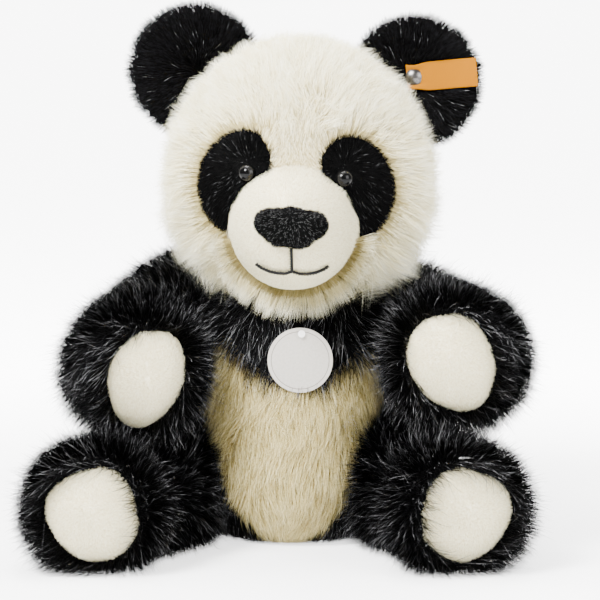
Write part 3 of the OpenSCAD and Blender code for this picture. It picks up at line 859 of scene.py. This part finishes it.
def tube(name, path, radius, mat, twist=2.6, plies=2):
    """Plied yarn along a path of points."""
    path = np.asarray(path)
    seg = np.linalg.norm(np.diff(path, axis=0), axis=1)
    s = np.concatenate([[0], np.cumsum(seg)])
    count = max(8, int(s[-1] / (0.25 * MM)))
    at = np.linspace(0, s[-1], count)
    mid = np.stack([np.interp(at, s, path[:, k]) for k in range(3)], axis=1)
    along = unit(np.gradient(mid, axis=0))
    side = unit(np.cross(along, FORWARD))
    other = np.cross(along, side)
    verts, faces = [], []
    for ply in range(plies):
        turn = 2 * math.pi * (at / (twist * MM) + ply / plies)
        core = mid + 0.5 * radius * MM * (side * np.cos(turn)[:, None] + other * np.sin(turn)[:, None])
        base = len(verts)
        for i in range(count):
            for k in range(6):
                a = 2 * math.pi * k / 6
                verts.append(core[i] + 0.6 * radius * MM * (side[i] * math.cos(a) + other[i] * math.sin(a)))
        for i in range(count - 1):
            for k in range(6):
                a, b = base + i * 6 + k, base + i * 6 + (k + 1) % 6
                faces.append((a, b, b + 6, a + 6))
        faces.append(tuple(base + k for k in range(5, -1, -1)))
        faces.append(tuple(base + (count - 1) * 6 + k for k in range(6)))
    obj = smooth_shade(add_object(name, mesh_from(name, verts, faces)))
    return dressed(obj, mat)


def make_mouth(surface):
    """Stitched lines: one down from the nose, then a curve to each side, laid on the muzzle."""
    low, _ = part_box("nose")
    start = np.array((NOSE[0], NOSE[1], low[2]))
    left = -unit(np.cross(FORWARD, UP))
    routes = {
        "mouth_line": [(0, 1.0), (0, -3), (0, -6), (0, -8.8)],
        "mouth_left": [(0, -8.8), (3, -9.9), (6, -10.2), (9.5, -9.8), (12.5, -8.7), (14.6, -7.3)],
        "mouth_right": [(0, -8.8), (-3, -9.7), (-6, -9.6), (-9.5, -8.9), (-12.5, -7.6), (-14.6, -6.2)],
    }
    for name, route in routes.items():
        fine = []
        for (x0, z0), (x1, z1) in zip(route[:-1], route[1:]):
            for k in range(4):
                fine.append((x0 + (x1 - x0) * k / 4, z0 + (z1 - z0) * k / 4))
        fine.append(route[-1])
        points = []
        for x, z in fine:
            ray = Vector(start + left * x * MM + UP * z * MM + FORWARD * 40 * MM)
            hit = surface.ray_cast(ray, Vector(-FORWARD))
            points.append(np.array(hit[0]) + np.array(hit[1]) * 1.9 * MM)
        piece = tube(name, points, 0.8, YARN)
        finish_piece(piece, "head", "black_yarn")
    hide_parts("mouth_stitching")


def woven(name, colour, deep, pitch, rough, **plain):
    """Ribbon weave: fine ribs across and along, in object space."""
    mat = principled(name, colour, rough, **plain)
    tree, links = mat.node_tree, mat.node_tree.links
    body = tree.nodes["Principled BSDF"]
    where = shade(mat, "ShaderNodeTexCoord")
    heights = []
    for turn in ((0, 0, 0), (0, math.pi / 2, 0)):
        place = shade(mat, "ShaderNodeMapping")
        place.inputs["Rotation"].default_value = turn
        ribs = shade(mat, "ShaderNodeTexWave", wave_type="BANDS", bands_direction="X")
        ribs.inputs["Scale"].default_value = pitch
        ribs.inputs["Distortion"].default_value = 0.6
        links.new(where.outputs["Object"], place.inputs["Vector"])
        links.new(place.outputs["Vector"], ribs.inputs["Vector"])
        heights.append(ribs.outputs["Fac"])
    both = shade(mat, "ShaderNodeMath", operation="MULTIPLY")
    links.new(heights[0], both.inputs[0])
    links.new(heights[1], both.inputs[1])
    ramp = shade(mat, "ShaderNodeValToRGB")
    ramp.color_ramp.elements[0].color = (*deep, 1)
    ramp.color_ramp.elements[1].color = (*colour, 1)
    raise_ = shade(mat, "ShaderNodeBump")
    raise_.inputs["Strength"].default_value = 0.5
    raise_.inputs["Distance"].default_value = 0.0003
    links.new(both.outputs[0], ramp.inputs["Fac"])
    links.new(ramp.outputs["Color"], body.inputs["Base Color"])
    links.new(both.outputs[0], raise_.inputs["Height"])
    links.new(raise_.outputs["Normal"], body.inputs["Normal"])
    return mat


def make_ribbon():
    """The woven flag under the ear button: pinched at the button, then a soft wave."""
    start, out, up = ribbon_frame()
    cols, rows = 64, 26
    verts, faces = [], []
    for i in range(cols + 1):
        x = RIBBON_L * i / cols
        pinch = 0.16 * math.exp(-((x - 3.5) / 4.0) ** 2)
        for j in range(rows + 1):
            v = RIBBON_W * (j / rows - 0.5)
            lift = 0.5 * math.sin(x * 0.22) + 0.9 * (x / RIBBON_L) ** 2
            lift += 1.2 * pinch / 0.16 * math.cos(v * 1.05) * smoothstep(abs(v), 0, 3) * 0.5
            p = start + MM * (out * x + up * v * (1 - pinch) + FORWARD * (lift + 0.6))
            verts.append(p)
    for i in range(cols):
        for j in range(rows):
            a = i * (rows + 1) + j
            faces.append((a, a + 1, a + rows + 2, a + rows + 1))
    ribbon = add_object("ear_ribbon_cloth", mesh_from("ear_ribbon_cloth", verts, faces))
    modify(ribbon, "SOLIDIFY", thickness=0.45 * MM, offset=0)
    smooth_shade(applied(ribbon))
    dressed(ribbon, woven("ribbon_weave", (0.42, 0.15, 0.0), (0.28, 0.10, 0.0), 900, 0.6,
                          Specular_IOR_Level=0.02))
    finish_piece(ribbon, "ear_ribbon", "ribbon_weave", "ear_ribbon")


def card_material():
    """Matt card with one plain ring near its edge."""
    mat = mottled("card_board", (0.42, 0.39, 0.34), (0.48, 0.45, 0.40), 900, 0.5, bump=0.05)
    tree, links = mat.node_tree, mat.node_tree.links
    body = tree.nodes["Principled BSDF"]
    ramp = next(n for n in tree.nodes if n.type == "VALTORGB")
    where = next(n for n in tree.nodes if n.type == "TEX_COORD")
    far = shade(mat, "ShaderNodeVectorMath", operation="DISTANCE")
    far.inputs[1].default_value = tuple(CARD)
    inner, outer, per_metre = 0.0126, 0.0130, 50
    ring = shade(mat, "ShaderNodeValToRGB")
    ring.color_ramp.interpolation = "CONSTANT"
    ring.color_ramp.elements[1].position = inner * per_metre
    ring.color_ramp.elements[1].color = (1, 1, 1, 1)
    last = ring.color_ramp.elements.new(outer * per_metre)
    last.color = (0, 0, 0, 1)
    scale = shade(mat, "ShaderNodeMath", operation="MULTIPLY")
    scale.inputs[1].default_value = per_metre
    mix = shade(mat, "ShaderNodeMix", data_type="RGBA")
    mix.inputs[7].default_value = (0.20, 0.18, 0.16, 1)
    links.new(where.outputs["Object"], far.inputs[0])
    links.new(far.outputs["Value"], scale.inputs[0])
    links.new(scale.outputs[0], ring.inputs["Fac"])
    links.new(ring.outputs["Color"], mix.inputs[0])
    links.new(ramp.outputs["Color"], mix.inputs[6])
    links.new(mix.outputs[2], body.inputs["Base Color"])
    return mat


def plain_nodes():
    """CAD nodes that keep their shape get their materials."""
    for name, obj in frame["nodes"].items():
        if obj.hide_render:
            continue
        if name.endswith(("stuffing", "filling")) or name == "pellet_bag":
            dressed(obj, FIBRE)
        elif name.endswith(("stud", "lock", "washer")):
            dressed(obj, NYLON)
        elif name.startswith("ear_button"):
            dressed(obj, GUNMETAL)
        elif name == "card_thread":
            dressed(obj, THREAD)
        elif name == "chest_card":
            dressed(obj, card_material())
        elif name == "care_label":
            dressed(obj, woven("label_satin", (0.93, 0.93, 0.91), (0.80, 0.80, 0.78), 1400, 0.4))


def seen_brighter(mat_tree, shader_out, bright, near=None):
    """Adds plain light to what the camera sees directly; it lights nothing else.

    near gives a lower amount round the toy, which grows to bright about 0.6 m away."""
    nodes, links = mat_tree.nodes, mat_tree.links
    path = nodes.new("ShaderNodeLightPath")
    glow = nodes.new("ShaderNodeEmission")
    glow.inputs["Color"].default_value = (1, 1, 1, 1)
    amount = nodes.new("ShaderNodeMath")
    amount.operation = "MULTIPLY"
    amount.inputs[1].default_value = bright
    if near is not None:
        where = nodes.new("ShaderNodeTexCoord")
        far = nodes.new("ShaderNodeVectorMath")
        far.operation = "LENGTH"
        spread = nodes.new("ShaderNodeMapRange")
        spread.interpolation_type = "SMOOTHSTEP"
        for key, value in (("From Min", 0.08), ("From Max", 0.6), ("To Min", near), ("To Max", bright)):
            spread.inputs[key].default_value = value
        links.new(where.outputs["Object"], far.inputs[0])
        links.new(far.outputs["Value"], spread.inputs["Value"])
        links.new(spread.outputs["Result"], amount.inputs[1])
    add = nodes.new("ShaderNodeAddShader")
    links.new(path.outputs["Is Camera Ray"], amount.inputs[0])
    links.new(amount.outputs[0], glow.inputs["Strength"])
    links.new(shader_out, add.inputs[0])
    links.new(glow.outputs[0], add.inputs[1])
    return add.outputs[0]


def lights():
    """A white room with four soft lamps."""
    world = bpy.data.worlds.new("studio")
    bpy.context.scene.world = world
    world.use_nodes = True
    back = world.node_tree.nodes["Background"]
    back.inputs["Color"].default_value = (1, 1, 1, 1)
    back.inputs["Strength"].default_value = 0.5
    out = world.node_tree.nodes["World Output"]
    world.node_tree.links.new(seen_brighter(world.node_tree, back.outputs[0], 8), out.inputs["Surface"])
    aim = Vector(HEAD) * 0.6
    for name, place, size, power in (
            ("key", (-0.55, -0.75, 0.95), 0.45, 62),
            ("fill", (0.8, -0.7, 0.5), 0.7, 15),
            ("rim", (0.5, 0.7, 0.9), 0.5, 18),
            ("top", (-0.1, 0.1, 1.2), 0.6, 27)):
        lamp = bpy.data.lights.new(name, "AREA")
        lamp.size = size
        lamp.energy = power
        obj = add_object(name, lamp)
        obj.location = place
        obj.rotation_euler = (aim - Vector(place)).to_track_quat("-Z", "Y").to_euler()


def floor():
    mesh = mesh_from("floor", [(-4, -3, 0), (4, -3, 0), (4, 8, 0), (-4, 8, 0)], [(0, 1, 2, 3)])
    obj = add_object("floor", mesh)
    mat = principled("floor_paper", (0.95, 0.95, 0.95), 0.9)
    out = mat.node_tree.nodes["Material Output"]
    body = mat.node_tree.nodes["Principled BSDF"]
    mat.node_tree.links.new(seen_brighter(mat.node_tree, body.outputs[0], 8.0, 2.0), out.inputs["Surface"])
    obj.data.materials.append(mat)


def camera():
    """A long lens, a little above the toy's middle, as in the photo."""
    distance, field, sensor = 1.3, 0.270, 36
    cam = bpy.data.cameras.new("camera")
    cam.sensor_width = sensor
    cam.lens = sensor * distance / field
    cam.clip_start = 0.01
    obj = add_object("camera", cam)
    target = Vector((0.0045, -0.03, 0.112))
    tilt = math.radians(6.5)
    obj.location = target + distance * Vector((0, -math.cos(tilt), math.sin(tilt)))
    obj.rotation_euler = (target - obj.location).to_track_quat("-Z", "Y").to_euler()
    bpy.context.scene.camera = obj


make_torso()
face = make_head()
make_nose()
make_mouth(face)
make_eyes()
make_ears()
make_ribbon()
for place, (limb_name, pad_name) in enumerate((("arm", "paw"), ("leg", "foot"))):
    for turn, one_side in enumerate(SIDES):
        make_limb(one_side, limb_name, pad_name, 100 + 20 * place + 10 * turn)
make_tail()
plain_nodes()
lights()
floor()
camera()
